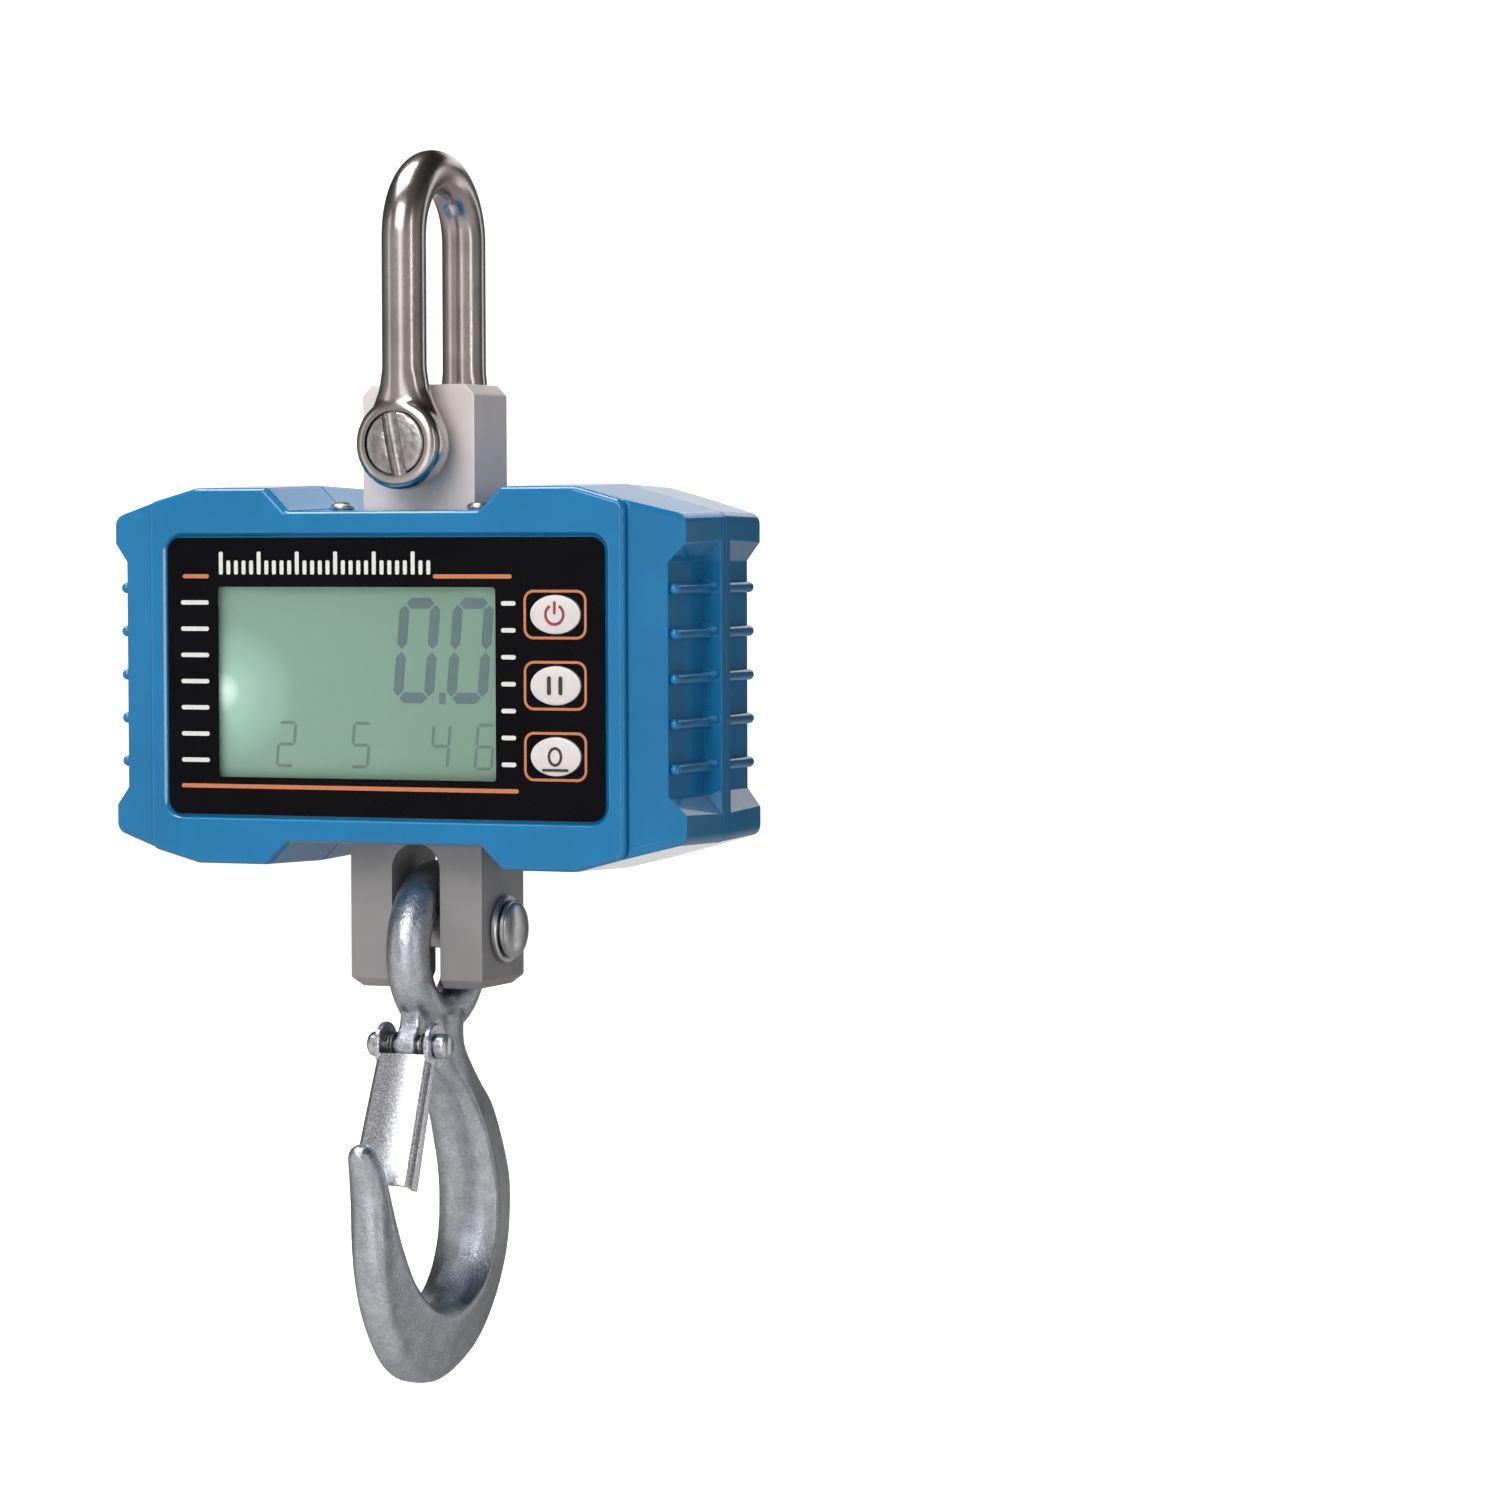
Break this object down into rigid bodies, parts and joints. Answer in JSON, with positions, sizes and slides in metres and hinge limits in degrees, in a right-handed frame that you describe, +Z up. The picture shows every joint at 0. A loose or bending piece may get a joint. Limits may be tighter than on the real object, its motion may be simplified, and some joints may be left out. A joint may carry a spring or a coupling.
{
  "type": "hanging crane scale",
  "caption": "Digital crane scale: a shackle and pin above, a ribbed octagonal case with display and keys on a load cell, and a latched swing hook below.",
  "frame": {"origin": "inside top of the shackle's bow, where the crane's hook bears", "axes": "+Z up, the display faces -Y, +X to the right as seen from the front"},
  "size_m": [0.145, 0.0744, 0.2829],
  "materials": {
    "stainless": "polished stainless steel",
    "block_steel": "satin machined steel",
    "clevis_steel": "matt machined steel",
    "cell_alloy": "nickel-plated alloy steel",
    "zinc": "bright zinc plate",
    "hook_zinc": "zinc plate over a forged skin",
    "latch_zinc": "bright zinc plate",
    "blue_paint": "semi-gloss blue paint",
    "gasket_rubber": "black rubber",
    "panel_film": "printed black film",
    "clear_window": "clear, slightly green",
    "display_glass": "grey-green liquid crystal display",
    "white_plastic": "white diffuser",
    "key_plastic": "white, satin",
    "circuit_board": "green solder mask",
    "dark_plastic": "black",
    "battery_sleeve": "printed sleeve"
  },
  "bodies": {
    "shackle": {"shackle": "stainless", "shackle_pin": "stainless"},
    "scale": {"upper_lug": "block_steel", "load_cell": "cell_alloy", "upper_stud": "zinc", "lower_stud": "zinc", "upper_lock_nut": "zinc", "lower_lock_nut": "zinc", "lower_clevis": "clevis_steel", "hook_pin": "stainless", "hook_pin_washer": "stainless", "hook_pin_ring": "stainless", "front_cover": "blue_paint", "front_shell": "blue_paint", "rear_shell": "blue_paint", "case_gasket_left": "gasket_rubber", "case_gasket_right": "gasket_rubber", "keypad_panel": "panel_film", "display_window": "clear_window", "lcd_glass": "display_glass", "backlight": "white_plastic", "main_board": "circuit_board", "power_switch": "dark_plastic", "hold_switch": "dark_plastic", "tare_switch": "dark_plastic", "cell_socket": "white_plastic", "cell_lead": "dark_plastic", "battery_tray": "dark_plastic", "battery_1": "battery_sleeve", "battery_2": "battery_sleeve", "battery_3": "battery_sleeve", "battery_door": "blue_paint", "door_screw_left": "zinc", "door_screw_right": "zinc", "top_screw_1": "zinc", "top_screw_2": "zinc", "top_screw_3": "zinc", "top_screw_4": "zinc", "case_screw_1": "zinc", "case_screw_2": "zinc", "case_screw_3": "zinc", "case_screw_4": "zinc"},
    "hook": {"hook": "hook_zinc", "latch_pin": "zinc"},
    "latch": {"latch": "latch_zinc", "latch_spring_left": "zinc", "latch_spring_right": "zinc"},
    "power_key": {"power_key": "key_plastic"},
    "hold_key": {"hold_key": "key_plastic"},
    "tare_key": {"tare_key": "key_plastic"}
  },
  "joints": [
    {"name": "shackle_swing", "type": "hinge", "parent": "shackle", "child": "scale", "pos_m": [0, 0, -0.0573], "axis": [0, 1, 0], "range_deg": [-90, 90]},
    {"name": "hook_swing", "type": "hinge", "parent": "scale", "child": "hook", "pos_m": [0, 0, -0.1684], "axis": [1, 0, 0], "range_deg": [-75, 75]},
    {"name": "latch_open", "type": "hinge", "parent": "hook", "child": "latch", "pos_m": [0, -0.0145, -0.1944], "axis": [1, 0, 0], "range_deg": [0, 50], "stiffness_Nm_per_rad": 0.02, "springref_deg": -28.65},
    {"name": "power_press", "type": "slide", "parent": "scale", "child": "power_key", "axis": [0, 1, 0], "range_m": [0, 0.0006], "stiffness_N_per_m": 800, "springref_m": -0.0003},
    {"name": "hold_press", "type": "slide", "parent": "scale", "child": "hold_key", "axis": [0, 1, 0], "range_m": [0, 0.0006], "stiffness_N_per_m": 800, "springref_m": -0.0003},
    {"name": "tare_press", "type": "slide", "parent": "scale", "child": "tare_key", "axis": [0, 1, 0], "range_m": [0, 0.0006], "stiffness_N_per_m": 800, "springref_m": -0.0003}
  ]
}
